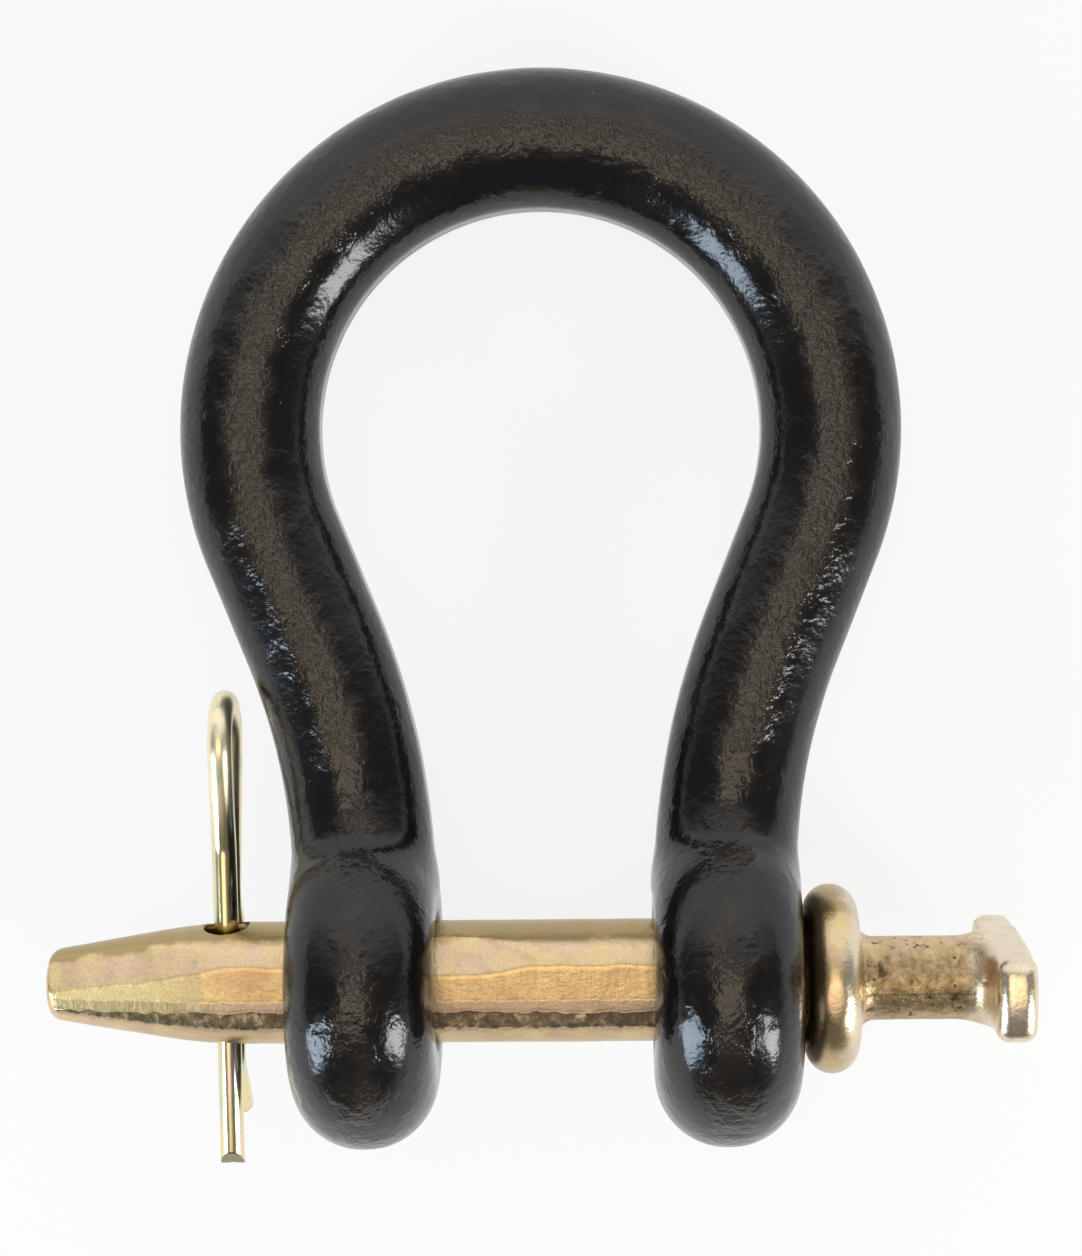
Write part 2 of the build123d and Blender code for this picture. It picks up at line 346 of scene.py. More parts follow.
def evened(points, quads, distance, step, rounds=4):
    """The points slid over the surface towards the middle of their neighbours."""
    for _ in range(rounds):
        total = np.zeros_like(points)
        number = np.zeros(len(points))
        for a, b in ((0, 1), (1, 2), (2, 3), (3, 0)):
            np.add.at(total, quads[:, a], points[quads[:, b]])
            np.add.at(total, quads[:, b], points[quads[:, a]])
            np.add.at(number, quads[:, a], 1)
            np.add.at(number, quads[:, b], 1)
        points = (points + total / number[:, None]) / 2
        points = onto(distance, points, step, rounds=1)
    return points


def forged(form, low, high, cell, step):
    """Points and quads of a forging: its true form, with its unevenness put on at the end."""
    points, quads = net_over(form.distance, np.array(low), np.array(high), cell)
    points = evened(points, quads, form.distance, step)
    return onto(form.rough_distance, points, step), quads


def mesh_piece(name, points, faces, material, facts=None):
    """A smooth-shaded object of these points and faces, with named values at its points."""
    mesh = bpy.data.meshes.new(name)
    mesh.from_pydata(points.tolist(), [], [list(face) for face in faces])
    for word, values in (facts or {}).items():
        layer = mesh.attributes.new(word, "FLOAT", "POINT")
        layer.data.foreach_set("value", np.asarray(values, dtype=np.float32))
    mesh.polygons.foreach_set("use_smooth", [True] * len(mesh.polygons))
    mesh.update()
    mesh.validate()
    mesh.materials.append(material)
    piece = bpy.data.objects.new(name, mesh)
    bpy.context.scene.collection.objects.link(piece)
    return piece


class Graph:
    """The nodes of a material or world, made and joined by short calls."""

    def __init__(self, owner):
        owner.use_nodes = True
        self.owner = owner
        self.tree = owner.node_tree

    def node(self, kind, values=None, **sockets):
        """A node of this kind, with its settings and its sockets, each a value or another's output."""
        made = self.tree.nodes.new("ShaderNode" + kind)
        for word, value in (values or {}).items():
            setattr(made, word, value)
        for word, value in sockets.items():
            self.join(made.inputs[word.replace("_", " ")], value)
        return made

    def join(self, socket, value):
        """Sets a socket to a value or links it to an output."""
        if isinstance(value, bpy.types.NodeSocket):
            self.tree.links.new(value, socket)
        else:
            socket.default_value = value

    def place(self, stretch):
        """The object's own coordinates, stretched."""
        spot = self.node("TexCoord").outputs["Object"]
        mapping = self.node("Mapping", Vector=spot, Scale=stretch)
        return mapping.outputs["Vector"]

    def fact(self, word):
        """A named value that the mesh carries at its points."""
        return self.node("Attribute", {"attribute_name": word}).outputs["Fac"]

    def noise(self, grain, detail=3.0, rough=0.5, stretch=(1, 1, 1), distortion=0.0):
        """Noise whose grain has about this size in metres."""
        noise = self.node(
            "TexNoise", Vector=self.place(stretch), Scale=1 / grain, Detail=detail, Roughness=rough,
            Distortion=distortion,
        )
        return noise.outputs["Fac"]

    def spots(self, cell, radius, rarity):
        """Sparse round spots: one in each cell of this size, kept where a random value is over rarity."""
        cells = self.node("TexVoronoi", Vector=self.place((1, 1, 1)), Scale=1 / cell, Randomness=1.0)
        drawn = self.node("SeparateColor", Color=cells.outputs["Color"]).outputs[0]
        kept = self.math("GREATER_THAN", drawn, rarity)
        near = self.between(cells.outputs["Distance"], radius / cell, 0.7 * radius / cell)
        return self.times(near, kept)

    def math(self, operation, first, second=0.5):
        """One sum. Where it takes a single value, the second isn't used."""
        made = self.node("Math", {"operation": operation})
        self.join(made.inputs[0], first)
        self.join(made.inputs[1], second)
        return made.outputs[0]

    def plus(self, first, *others):
        """Values added together."""
        for other in others:
            first = self.math("ADD", first, other)
        return first

    def times(self, first, *others):
        """Values multiplied together."""
        for other in others:
            first = self.math("MULTIPLY", first, other)
        return first

    def between(self, value, low, high, start=0.0, end=1.0):
        """The value taken from low and high to start and end, and held there."""
        made = self.node("MapRange", {"clamp": True}, Value=value)
        for word, number in (("From Min", low), ("From Max", high), ("To Min", start), ("To Max", end)):
            made.inputs[word].default_value = number
        return made.outputs["Result"]

    def frayed(self, value, noise, span, low, high):
        """A value that a noise shifts by low to high, so that an edge drawn at it frays."""
        return self.plus(value, self.between(noise, *span, low, high))

    def mixed(self, amount, first, second):
        """Two colours mixed by an amount."""
        made = self.node("Mix", {"data_type": "RGBA"})
        self.join(made.inputs[0], amount)
        for socket, value in ((made.inputs[6], first), (made.inputs[7], second)):
            self.join(socket, value if isinstance(value, bpy.types.NodeSocket) else (*value, 1.0))
        return made.outputs[2]

    def layered(self, colour, *layers):
        """A colour with others laid over it in turn, each by its own amount."""
        for amount, over in layers:
            colour = self.mixed(amount, colour, over)
        return colour

    def bumped(self, *layers):
        """A normal from several heights, each with its depth in metres."""
        normal = None
        for height, depth in layers:
            bump = self.node("Bump", Height=height, Distance=depth, Strength=1.0)
            if normal:
                self.join(bump.inputs["Normal"], normal)
            normal = bump.outputs["Normal"]
        return normal

    def shade(self, **sockets):
        """Sets the surface shader's sockets."""
        shader = self.tree.nodes["Principled BSDF"]
        for word, value in sockets.items():
            self.join(shader.inputs[word.replace("_", " ")], value)
        return self.owner


def material_graph(name):
    """The nodes of a new material."""
    return Graph(bpy.data.materials.new(name))


def enamel_material(bow):
    """Thick glossy black enamel with a fine orange peel, thinner and lumpier over the trimmed flash, where
    its brownish tint is partly painted reflection of the warm overhead light.
    """
    paint = material_graph("black_enamel")
    peel = paint.noise(0.95 * MM, detail=2.5, rough=0.55)
    fine = paint.noise(0.4 * MM, detail=1.0)
    lumps = paint.noise(5 * MM)
    areas = paint.noise(14 * MM, detail=2.0)
    band = paint.between(paint.frayed(paint.fact("flash"), lumps, NARROW, -0.3, 0.3), 0.2, 0.9)
    rust = paint.spots(cell=9 * MM, radius=0.5 * MM, rarity=0.9)
    dust = paint.spots(cell=3 * MM, radius=0.16 * MM, rarity=0.86)
    # The band's brownish tint is thin enamel and partly painted reflection of the warm overhead light
    colour = paint.layered(
        tuple(bow.enamel), (band, tuple(bow.thin_enamel_and_reflection)), (rust, RUST), (paint.times(dust, 0.5), DUST)
    )
    gloss = paint.math("SUBTRACT", paint.between(areas, *WIDE, 0.14, 0.21), paint.times(band, 0.03))
    strength = paint.plus(paint.between(areas, 0.35, 0.6, 0.12, 0.38), paint.times(band, 1.5))
    orange = paint.times(peel, strength)
    normal = paint.bumped((lumps, 0.25 * MM), (orange, 0.2 * MM), (fine, 0.010 * MM))
    return paint.shade(Base_Color=colour, Roughness=gloss, Normal=normal)


class ZincCoat:
    """Satin yellow zinc over the pin's forged skin, its sheared flats, its torn bands and its rough neck.

    Most facts say how many millimetres a point is past an edge of the forging, and noises fray these edges.
    """

    def __init__(self, pin):
        self.pin = pin
        self.zinc = zinc = material_graph("yellow_zinc")
        self.cloud = zinc.noise(6 * MM, detail=4.0, rough=0.6)
        self.streak = zinc.noise(4 * MM, detail=4.0, rough=0.65)
        self.grain = zinc.noise(0.4 * MM)
        self.coarse = zinc.noise(1.4 * MM, detail=4.0, rough=0.6)
        self.shear = zinc.noise(0.5 * MM, detail=4.0, rough=0.6, stretch=(1, 0.1, 0.3))
        self.off_trim = zinc.fact("off_trim")
        self.past_facet = zinc.fact("past_facet")
        self.past_nose = zinc.fact("past_nose")
        self.past_collar = zinc.fact("past_collar")
        self.upper = zinc.fact("upper")
        spread = zinc.frayed(self.off_trim, self.coarse, WIDE, -0.4, 0.14)
        self.torn = zinc.times(
            zinc.between(spread, 0.3, 0.0), zinc.between(zinc.fact("past_tear"), -0.05, 0.15)
        )
        self.below = zinc.between(zinc.frayed(self.past_facet, self.coarse, WIDE, -0.2, 0.2), -0.1, 0.15)
        self.trimmed = zinc.between(self.off_trim, 0.22, 0.1)
        self.facet = zinc.times(self.trimmed, self.below)
        self.head = zinc.between(zinc.fact("past_head"), -2.5, 2.5)
        self.rough = zinc.math("SUBTRACT", zinc.between(self.past_collar, -0.5, 1.0), self.head)
        self.smooth = zinc.math("SUBTRACT", 1.0, zinc.between(self.past_collar, -1.0, 1.0))

    def plating(self):
        """Gold and pink in clouds, olive towards the underside and in streaks, and olive towards the top,
        which is painted dark reflection of the dim floor that side faces.
        """
        zinc = self.zinc
        gold, pink, olive = (tuple(tone) for tone in (self.pin.gold, self.pin.pink, self.pin.olive))
        upper = zinc.frayed(self.upper, self.cloud, NARROW, -0.4, 0.4)
        lower = zinc.frayed(self.past_facet, self.cloud, NARROW, -1.0, 1.0)
        return zinc.layered(
            gold,
            (zinc.between(self.cloud, 0.42, 0.6), pink),
            # Olive up the round is painted dark reflection of the dim floor that the top faces
            (zinc.times(self.smooth, zinc.between(upper, -0.2, 0.4)), olive),
            (zinc.times(self.smooth, zinc.between(lower, 3.5, 7.0, 0.2, 0.7)), olive),
            (zinc.between(self.streak, 0.5, 0.7, 0.0, 0.55), olive),
        )

    def neck(self):
        """Dull mottled plating with dark specks from the collar to the head, weaker towards the top; the
        dulling is partly painted dark reflection where the neck faces the camera.
        """
        zinc = self.zinc
        # The dull plating is partly real and partly painted dark reflection: strongest where the neck faces
        # the camera and below, weaker towards the top
        front = zinc.between(self.upper, -1.8, 0.8, 1.0, 0.25)
        dull_and_dark_reflection = zinc.times(
            self.rough, front, zinc.between(self.coarse, 0.35, 0.6, 0.5, 1.0),
            zinc.between(self.below, 0.0, 1.0, 1.0, 0.9),
        )
        blotches = zinc.between(zinc.noise(0.9 * MM, detail=4.0), 0.58, 0.7, 0.0, 0.7)
        specks = zinc.times(self.rough, zinc.spots(cell=1.7 * MM, radius=0.34 * MM, rarity=0.55))
        return (
            (dull_and_dark_reflection, tuple(self.pin.dull)),
            (zinc.times(self.rough, blotches), NECK_STAIN),
            (zinc.times(specks, 0.85), NECK_SPECK),
        )

    def collar_and_head(self):
        """The collar with painted dark reflection of the ear on its side towards the ear and pale towards the
        neck, and a silvery cross bar.
        """
        zinc = self.zinc
        pale = tuple(self.pin.pale)
        across = zinc.frayed(self.past_collar, self.cloud, NARROW, -1.5, 1.5)
        # Dark brown on the collar's third towards the ear is painted reflection of the black ear beside it
        ear_reflection = zinc.times(zinc.between(across, -5.2, -6.6), zinc.between(self.past_collar, -8.8, -8.2))
        rim = zinc.times(zinc.between(across, -4.0, -2.0), self.smooth)
        silver = zinc.times(self.head, zinc.between(self.streak, *NARROW, 0.8, 0.25))
        return (zinc.times(ear_reflection, 0.25), COLLAR_EAR_REFLECTION), (zinc.times(rim, 0.6), pale), (silver, pale)

    def flats(self):
        """Lines across the sheared flats, lighter towards the nose, and a facet that turns olive there."""
        zinc = self.zinc
        pin = self.pin
        lined = zinc.layered(
            tuple(pin.sheared),
            (zinc.between(self.shear, 0.4, 0.7), tuple(pin.lines)),
            (zinc.between(self.cloud, 0.5, 0.62, 0.0, 0.6), COPPERY),
            (zinc.between(self.past_nose, 7.0, -9.0, 0.0, 0.9), tuple(pin.lit)),
        )
        edge = zinc.mixed(zinc.between(self.past_nose, 2.0, -4.0), tuple(pin.pink), tuple(pin.olive))
        return (zinc.times(self.trimmed, 0.8), lined), (zinc.times(self.facet, 0.75), edge)

    def marks(self):
        """Darker grain all over, torn metal beside the flats, the flash seam of the neck, and the pits."""
        zinc = self.zinc
        tear = zinc.mixed(zinc.between(self.coarse, 0.44, 0.62), tuple(self.pin.torn), WORN_TEAR)
        seam = zinc.between(zinc.math("ABSOLUTE", self.past_facet), 0.22, 0.08, 0.0, 0.5)
        broken = zinc.times(self.rough, zinc.between(self.streak, 0.35, 0.5))
        return (
            (zinc.between(self.grain, *WIDE, 0.25, 0.0), GRAIN_SHADE),
            (zinc.times(self.torn, 0.9), tear),
            (zinc.times(seam, broken), FLASH_SEAM),
            (zinc.between(zinc.fact("pitted"), 0.1, 0.9, 0.0, 0.85), PIT),
        )

    def gloss(self):
        """Roughness: more on the torn metal, the flats, the facet and the neck."""
        zinc = self.zinc
        return zinc.plus(
            zinc.between(self.cloud, *WIDE, 0.25, 0.33),
            zinc.between(self.torn, 0.0, 1.0, 0.0, 0.15),
            zinc.times(self.trimmed, 0.07),
            zinc.times(zinc.plus(self.rough, self.facet), 0.12),
        )

    def relief(self):
        """Grain all over, lines across the flats, chips on the facet, coarse metal where torn or rough."""
        zinc = self.zinc
        chips = zinc.noise(0.8 * MM, stretch=(1, 0.4, 0.4), distortion=0.6)
        return zinc.bumped(
            (self.coarse, 0.06 * MM),
            (zinc.times(self.shear, self.trimmed), 0.025 * MM),
            (self.grain, 0.03 * MM),
            (zinc.times(chips, self.facet), 0.07 * MM),
            (zinc.times(self.coarse, zinc.plus(self.rough, self.torn)), 0.2 * MM),
        )

    def material(self):
        """The finished coat."""
        layers = (*self.neck(), *self.collar_and_head(), *self.flats(), *self.marks())
        colour = self.zinc.layered(self.plating(), *layers)
        return self.zinc.shade(Base_Color=colour, Metallic=1.0, Roughness=self.gloss(), Normal=self.relief())


def wire_material(clip):
    """Bright drawn wire that shifts from gold to rose, green and blue, with a matt loop and dull cut ends."""
    wire = material_graph("bright_zinc_wire")
    sway = wire.noise(6 * MM, detail=2.0, stretch=(2.5, 0.5, 2.5))
    other = wire.noise(4 * MM, detail=2.0, stretch=(3, 0.4, 3))
    drawn = wire.noise(0.25 * MM, detail=2.0, stretch=(1, 0.05, 1))
    matt = wire.fact("matt")
    cut = wire.fact("cut")
    colour = wire.layered(
        tuple(clip.gold),
        (wire.between(sway, 0.56, 0.68), tuple(clip.rose)),
        (wire.times(matt, 0.8), tuple(clip.straw)),
        (wire.between(other, 0.54, 0.66), tuple(clip.green)),
        (wire.between(sway, 0.36, 0.28), tuple(clip.blue)),
        (wire.times(cut, 0.8), CUT_WIRE),
    )
    gloss = wire.plus(wire.between(matt, 0.0, 1.0, 0.19, 0.36), wire.between(cut, 0.0, 1.0, 0.0, 0.3))
    normal = wire.bumped((drawn, 0.006 * MM))
    return wire.shade(Base_Color=colour, Metallic=1.0, Roughness=gloss, Normal=normal)


class BowForm:
    """The bow's form in its own plane, as a distance from its surface."""

    side_rounding = 0.12 * MM
    trim_rounding = 0.25 * MM
    trim_run_out = 8 * MM
    skin_waves = ((0.625, 17 * MM, 3), (0.375, 7 * MM, 4))
    # The rough band fades out between these shares of its width, and is fainter at the eyes' end of its run
    band_fade = (0.2, 0.75)
    band_at_eyes = 0.55
    band_run = (30 * MM, 42 * MM)

    def __init__(self, bow):
        self.bow = bow
        self.bar_radius = bow.bar / 2
        self.ear_thickness = bow.bar + bow.ear_swell
        self.ear_middle = (bow.ear_gap + self.ear_thickness) / 2
        self.crown_centre = bow.crown_height - bow.crown_radius
        rise = self.crown_centre - bow.waist_foot
        lean = 2 * math.atan2(bow.crown_radius - self.ear_middle, rise + bow.flare_run)
        self.cosine = math.cos(lean)
        self.sine = math.sin(lean)
        self.waist_radius = (rise - bow.crown_radius * self.sine - bow.flare_run * self.cosine) / self.sine
        self.blend_top = bow.eye_radius + bow.blend_rise
        self.trim_depth = sag(self.bar_radius, bow.trim_width)
        self.edge_depth = sag(self.bar_radius, bow.edge_width)

    def offset(self, across, up):
        """How far outside the leg's centre line a point of the bow's plane is."""
        bow = self.bow
        rise = up - self.crown_centre
        climb = up - bow.waist_foot
        left = self.ear_middle + self.waist_radius - across
        crown = np.hypot(across, rise) - bow.crown_radius
        flare = across * self.cosine - rise * self.sine - bow.crown_radius
        waist = self.waist_radius - np.hypot(left, climb)
        on_crown = rise * self.cosine + across * self.sine >= 0
        on_waist = climb * self.cosine - left * self.sine <= 0
        found = np.where(on_crown, crown, np.where(on_waist, waist, flare))
        return np.where(climb < 0, across - self.ear_middle, found)

    def bar_distance(self, across, up, front):
        """How far outside the bar: round, widened towards the eye, and trimmed front, back and sides."""
        bow = self.bow
        offset = self.offset(across, up)
        widened = np.clip((self.blend_top - up) / (self.blend_top - bow.waist_foot), 0, 1)
        depth = self.bar_radius + bow.blend_swell * widened**2
        bar = np.hypot(offset, front * self.bar_radius / depth) - self.bar_radius
        edge = self.bar_radius - self.edge_depth * smooth_step(up, bow.waist_foot, self.blend_top)
        bar = smooth_cut(bar, np.abs(offset) - edge, self.side_rounding)
        bar = np.maximum(bar, bow.waist_foot - up)
        ramp = np.clip((up - self.blend_top) / self.trim_run_out, 0, 1)
        trimmed = np.abs(front) - (self.bar_radius - self.trim_depth * ramp)
        return np.where(up > self.blend_top, smooth_cut(bar, trimmed, self.trim_rounding), bar)

    def eye_distance(self, sideways, off_axis):
        """How far outside the eye, a ring with two rounded rims."""
        rim = (self.ear_thickness - self.bow.rim_land) / 2
        beyond = sideways - (self.ear_thickness / 2 - rim)
        outward = off_axis - (self.bow.eye_radius - rim)
        eye = np.hypot(np.maximum(beyond, 0), np.maximum(outward, 0)) - rim
        return eye + np.minimum(np.maximum(beyond, outward), 0)

    def distance(self, points):
        """How far outside the forging each point is."""
        across = np.abs(points[..., 0])
        up = points[..., 1]
        front = points[..., 2]
        off_axis = np.hypot(up, front)
        sideways = np.abs(across - self.ear_middle)
        bar = self.bar_distance(across, up, front)
        whole = smooth_union(bar, self.eye_distance(sideways, off_axis), self.bow.crease)
        sunk = np.clip(self.bow.chamfer - (self.ear_thickness / 2 - sideways), 0, None)
        return np.maximum(whole, self.bow.bore / 2 + sunk - off_axis)

    def rough_distance(self, points):
        """The same with the forging's own unevenness, which only takes metal away."""
        return self.distance(points) + self.bow.wander * (0.5 + 0.5 * waves(points, self.skin_waves))

    def facts(self, points):
        """How near to the middle of the rough band each point is, from nought to one."""
        offset = np.abs(self.offset(np.abs(points[:, 0]), points[:, 1]))
        near = 1 - smooth_step(offset, *(share * self.bow.band_width for share in self.band_fade))
        faint = self.band_at_eyes
        return {"flash": near * (faint + (1 - faint) * smooth_step(points[:, 1], *self.band_run))}


class PinForm:
    """The pin's form as it was forged, with its cross bar along Z and its cross hole along Y.

    Each of its two sheared flats is the other turned half round, and what is above and below is said for one.
    """

    # The sheared flat from its middle: a facet and torn metal below, a ridge and a slanted bank above
    facet_top = -1.0 * MM
    facet_width = 1.9 * MM
    facet_slope = 0.09
    tear_edge = (2.7 * MM, 3.0 * MM)
    tear_middle = 2.8 * MM
    tear_waves = ((0.3 * MM, 1.5 * MM, 8), (0.25 * MM, 6 * MM, 9))
    torn_slope = 0.08
    ridge_foot = 4.2 * MM
    ridge_run = 1.5 * MM
    ridge_waves = ((0.4, 11 * MM, 10), (0.15, 3 * MM, 11))
    bank_lean = math.radians(32)
    bank_depth = 0.62 * MM
    bank_taper = 1.1
    bank_waves = ((0.42 * MM, 12 * MM, 55), (0.12 * MM, 3 * MM, 15))

    # The forging's own skin, its pits, and the fine waves and chips that shearing leaves. A kind of pit has
    # its length, its seed, and the heights of the waves between which it sinks.
    skin_waves = ((0.5, 5 * MM, 5), (0.25, 2 * MM, 6))
    pit_depth = 0.22 * MM
    pits_from = (-0.5 * MM, 1.5 * MM)
    pits_to = (-3.5 * MM, -2 * MM)
    pit_kinds = ((1.1 * MM, 21, 0.6, 0.8), (1.9 * MM, 24, 0.72, 0.9))
    shear_wave = (0.03 * MM, 1.2 * MM, 7)
    chip_wave = (0.12 * MM, 1.1 * MM, 12)
    chip_edge = (2.6 * MM, 3.1 * MM)

    # Where the parts meet, and the mouths of the cross hole
    shoulder_rounding = 1.0 * MM
    flat_rounding = 0.12 * MM
    bank_rounding = 0.2 * MM
    collar_trim = 0.22 * MM
    collar_trim_rounding = 0.3 * MM
    collar_crease = 0.6 * MM
    head_rounding = 0.4 * MM
    hole_rounding = 0.25 * MM
    mouth_foot = 1.0 * MM
    mouth_depth = 1.2 * MM
    mouth_slope = 0.6

    # Where the plating changes: before the collar's middle, behind the cross bar, and up the round, where
    # painted dark reflection begins
    flats_end = 4 * MM
    head_hollow = 1.5 * MM
    upper_from = 55

    def __init__(self, pin, clip):
        self.pin = pin
        low, high = (np.array(corner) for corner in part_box("clevis_pin"))
        self.nose = low[0]
        self.shoulder = self.nose + pin.nose_length
        self.bar_end = high[0]
        self.bar_middle = self.bar_end - pin.bar_thickness / 2
        self.neck = self.bar_end - pin.bar_thickness - pin.neck_length
        self.collar_middle = self.neck - pin.collar_thickness / 2
        self.collar_radius = (high[1] - low[1]) / 2
        self.bar_reach = (high[2] - low[2]) / 2
        clip_low, clip_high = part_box("hairpin_clip")
        self.hole = (clip_low[0] + clip_high[0]) / 2
        self.hole_radius = clip.wire / 2 + clip.clearance
        self.shank_trim = pin.shank / 2 - sag(pin.shank / 2, pin.trim_width)
        self.tip_trim = pin.nose_tip / 2 - sag(pin.nose_tip / 2, pin.nose_trim_width)

    def body_radius(self, along):
        """Radius of the shank and nose, with the nose's shoulder smoothed."""
        pin = self.pin
        slope = (pin.shank - pin.nose_tip) / 2 / pin.nose_length
        cone = pin.nose_tip / 2 + (along - self.nose) * slope
        return -smooth_cut(-cone, -pin.shank / 2 + 0 * along, self.shoulder_rounding)

    def ragged(self, along):
        """How far the torn edge wanders along the pin."""
        return waves(on_axis(along), self.tear_waves)

    def pits(self, points):
        """How deep in a pit of the neck or head each point is, from nought to one."""
        along = points[..., 0]
        reach = smooth_step(along, *(self.neck + edge for edge in self.pits_from))
        reach = reach * (1 - smooth_step(along, *(self.bar_middle + edge for edge in self.pits_to)))
        small, large = (
            smooth_step(mottle(points, length, seed), low, high) for length, seed, low, high in self.pit_kinds
        )
        return reach * np.maximum(small, large)

    def skin(self, points):
        """How much metal the forging's unevenness and its pits take away."""
        strayed = self.pin.wander * (0.75 + waves(points, self.skin_waves))
        return strayed + self.pit_depth * self.pits(points)

    def sheared_skin(self, points, above):
        """How the sheared flat's height varies: fine waves across it and chips in its torn part."""
        height, length, seed = self.shear_wave
        fine = height * mottle(points * np.array([1, 0.2, 1]), length, seed)
        return fine + smooth_step(-above, *self.chip_edge) * waves(points, [self.chip_wave])

    def bank_height(self, along):
        """How far from the axis the slanted bank above the sheared flat is."""
        shank = self.pin.shank / 2
        taper = self.body_radius(along) - shank
        return shank + self.bank_taper * taper - self.bank_depth + waves(on_axis(along), self.bank_waves)

    def trim_height(self, along, above):
        """How high the sheared flat leaves the metal: its clean face, facet, torn part and ridge."""
        slope = (self.shank_trim - self.tip_trim) / self.pin.nose_length
        clean = self.shank_trim - np.clip(self.shoulder - along, 0, None) * slope
        ragged = self.ragged(along)
        start, end = self.tear_edge
        facet = np.clip(self.facet_top - above, 0, self.facet_width) * self.facet_slope
        torn = smooth_step(-above, start + ragged, end + ragged) * self.pin.tear_depth
        rise = np.clip(-end - above, 0, None) * self.torn_slope
        wave = 0.5 + waves(on_axis(along), self.ridge_waves)
        ridge = self.pin.ridge * wave * np.clip((above - self.ridge_foot) / self.ridge_run, 0, 1)
        return clean - facet - torn + rise + ridge

    def body_distance(self, points, off_axis, rough, stray):
        """How far outside the nose and shank, with their sheared flats and the banks above them."""
        along, up, front = np.moveaxis(points, -1, 0)
        above = up * np.sign(front + 1e-9)
        body = off_axis - self.body_radius(along) + stray
        body = smooth_cut(body, self.nose - along, self.pin.nose_rounding)
        body = np.maximum(body, along - self.collar_middle)
        height = self.trim_height(along, above)
        if rough:
            height = height + self.sheared_skin(points, above)
        body = smooth_cut(body, np.abs(front) - height, self.flat_rounding)
        bank = above * math.sin(self.bank_lean) + np.abs(front) * math.cos(self.bank_lean)
        return smooth_cut(body, bank - self.bank_height(along), self.bank_rounding)

    def collar_distance(self, along, front, off_axis, stray):
        """How far outside the collar, whose rim is a full round trimmed front and back."""
        edge = self.pin.collar_thickness / 2
        sideways = np.abs(along - self.collar_middle)
        outward = np.maximum(off_axis - (self.collar_radius - edge), 0)
        collar = np.hypot(sideways, outward) - edge + stray
        trimmed = np.abs(front) - (self.collar_radius - self.collar_trim)
        return smooth_cut(collar, trimmed, self.collar_trim_rounding)

    def head_distance(self, along, up, off_axis, stray):
        """How far outside the neck and the cross bar."""
        pin = self.pin
        corner = pin.bar_rounding
        neck = np.maximum(off_axis - pin.neck / 2 + stray, self.collar_middle - along)
        neck = np.maximum(neck, along - self.bar_middle)
        slab = np.abs(up) - pin.neck / 2 - pin.bar_step
        block = rounded(np.abs(along - self.bar_middle) - pin.bar_thickness / 2, slab, corner)
        block = rounded(block, off_axis - self.bar_reach, corner) + stray
        head = smooth_union(neck, block, pin.web)
        return smooth_cut(np.maximum(head, along - self.bar_end), slab, self.head_rounding)

    def distance(self, points, rough=False):
        """How far outside the forging each point is."""
        along, up, front = np.moveaxis(points, -1, 0)
        off_axis = np.hypot(up, front)
        stray = self.skin(points) if rough else 0
        body = self.body_distance(points, off_axis, rough, stray)
        collar = self.collar_distance(along, front, off_axis, stray)
        head = self.head_distance(along, up, off_axis, stray)
        whole = smooth_union(smooth_union(body, collar, self.collar_crease), head, self.pin.neck_rounding)
        bore = np.hypot(along - self.hole, front)
        mouth = np.clip(off_axis - (self.pin.shank / 2 - self.mouth_foot), 0, self.mouth_depth)
        widened = self.hole_radius + mouth * self.mouth_slope
        return smooth_cut(whole, widened - bore, self.hole_rounding)

    def rough_distance(self, points):
        """The same with the forging's own unevenness, the pits, and the flats' waves and chips."""
        return self.distance(points, rough=True)

    def facts(self, points):
        """Where each point lies from the edges of the pin's finishes.

        Most are in millimetres. Upper is in tens of degrees up the round, and pitted from nought to one.
        """
        along, up, front = points.T
        above = up * np.sign(front)
        off_trim = np.abs(self.trim_height(along, above) - np.abs(front))
        off_body = np.clip(along - self.collar_middle + self.flats_end, 0, None)
        head_foot = self.bar_end - self.pin.bar_thickness - self.head_hollow
        degrees_up = np.degrees(np.arctan2(up, np.abs(front)))
        return {
            "off_trim": (off_trim + off_body) / MM,
            "past_facet": (self.facet_top - above) / MM,
            "past_nose": (along - self.shoulder) / MM,
            "past_tear": (-self.tear_middle - self.ragged(along) - above) / MM,
            "past_collar": (along - self.neck) / MM,
            "past_head": (along - head_foot) / MM,
            "upper": (degrees_up - self.upper_from) / 10,
            "pitted": self.pits(points),
        }


def heading_point(bend, heading, turning):
    """The point of a bend, given as centre and radius, where the wire runs with this heading."""
    x, y, radius = bend
    return np.array([x + turning * radius * math.sin(heading), y - turning * radius * math.cos(heading)])


def run_heading(bend, following, turning):
    """The heading of the straight run that leaves one bend and meets the next, turned the other way."""
    across = following[0] - bend[0]
    along = following[1] - bend[1]
    swing = math.asin((bend[2] + following[2]) / math.hypot(across, along))
    return math.atan2(along, across) + turning * swing


